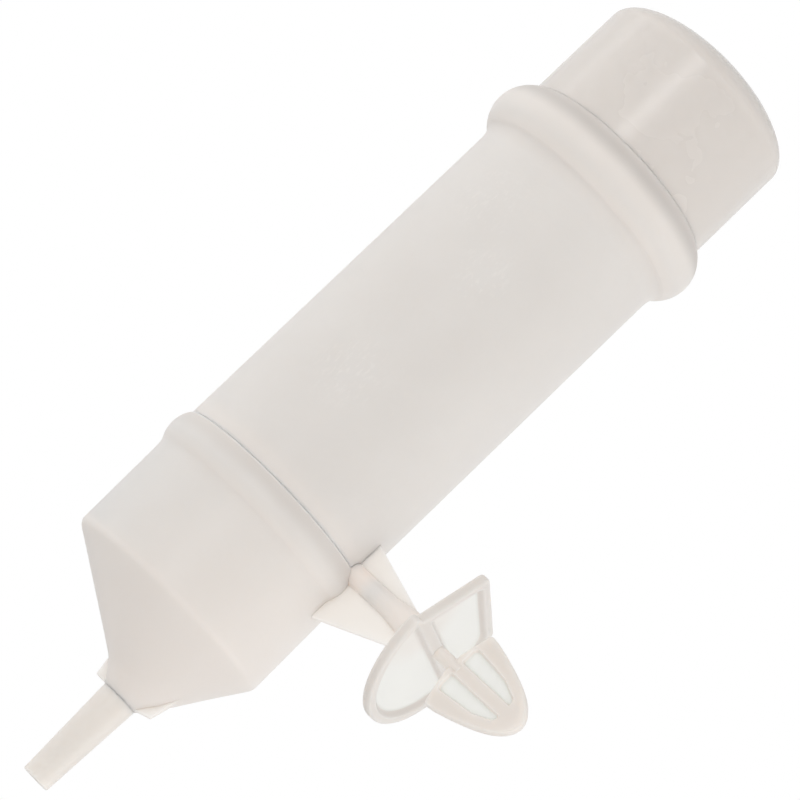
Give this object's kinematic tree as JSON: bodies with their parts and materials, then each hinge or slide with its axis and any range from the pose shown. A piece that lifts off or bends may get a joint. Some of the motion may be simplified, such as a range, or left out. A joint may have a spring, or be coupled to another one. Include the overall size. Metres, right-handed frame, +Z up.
{
  "type": "cage drinking fount",
  "caption": "Milky plastic tube fount for cage birds: push-in cap, barrel, eccentric funnel with outlet tube, and a turning hook on a side arm.",
  "frame": {"origin": "on the arm line, in the plane of the cage hook flange's flat front rim, which bears on the cage wires", "axes": "+Z up the tube, outlet down; +X along the arm into the cage; the tube axis stands at X = -61.4 mm"},
  "size_m": [0.1253, 0.069, 0.2546],
  "materials": {
    "funnel_base": "milky natural polyethylene, satin",
    "barrel": "milky natural polyethylene, matte, lightly scuffed",
    "top_cap": "milky natural polyethylene, glossy",
    "cap_seal_ring": "soft pale seal",
    "base_seal_ring": "soft pale seal",
    "outlet_tube": "milky natural polyethylene, satin",
    "cage_hook": "milky natural polyethylene, thin webs brighter"
  },
  "bodies": {
    "base": {"funnel_base": "funnel_base", "outlet_tube": "outlet_tube", "base_seal_ring": "base_seal_ring"},
    "reservoir": {"barrel": "barrel", "cap_seal_ring": "cap_seal_ring"},
    "cap": {"top_cap": "top_cap"},
    "hook": {"cage_hook": "cage_hook"}
  },
  "joints": [
    {"name": "barrel_pull", "type": "slide", "parent": "base", "child": "reservoir", "axis": [0, 0, 1], "range_m": [0, 0.045]},
    {"name": "cap_pull", "type": "slide", "parent": "reservoir", "child": "cap", "axis": [0, 0, 1], "range_m": [0, 0.03]},
    {"name": "hook_turn", "type": "hinge", "parent": "base", "child": "hook", "pos_m": [0, 0, 0], "axis": [1, 0, 0], "range_deg": [-90, 90]}
  ]
}
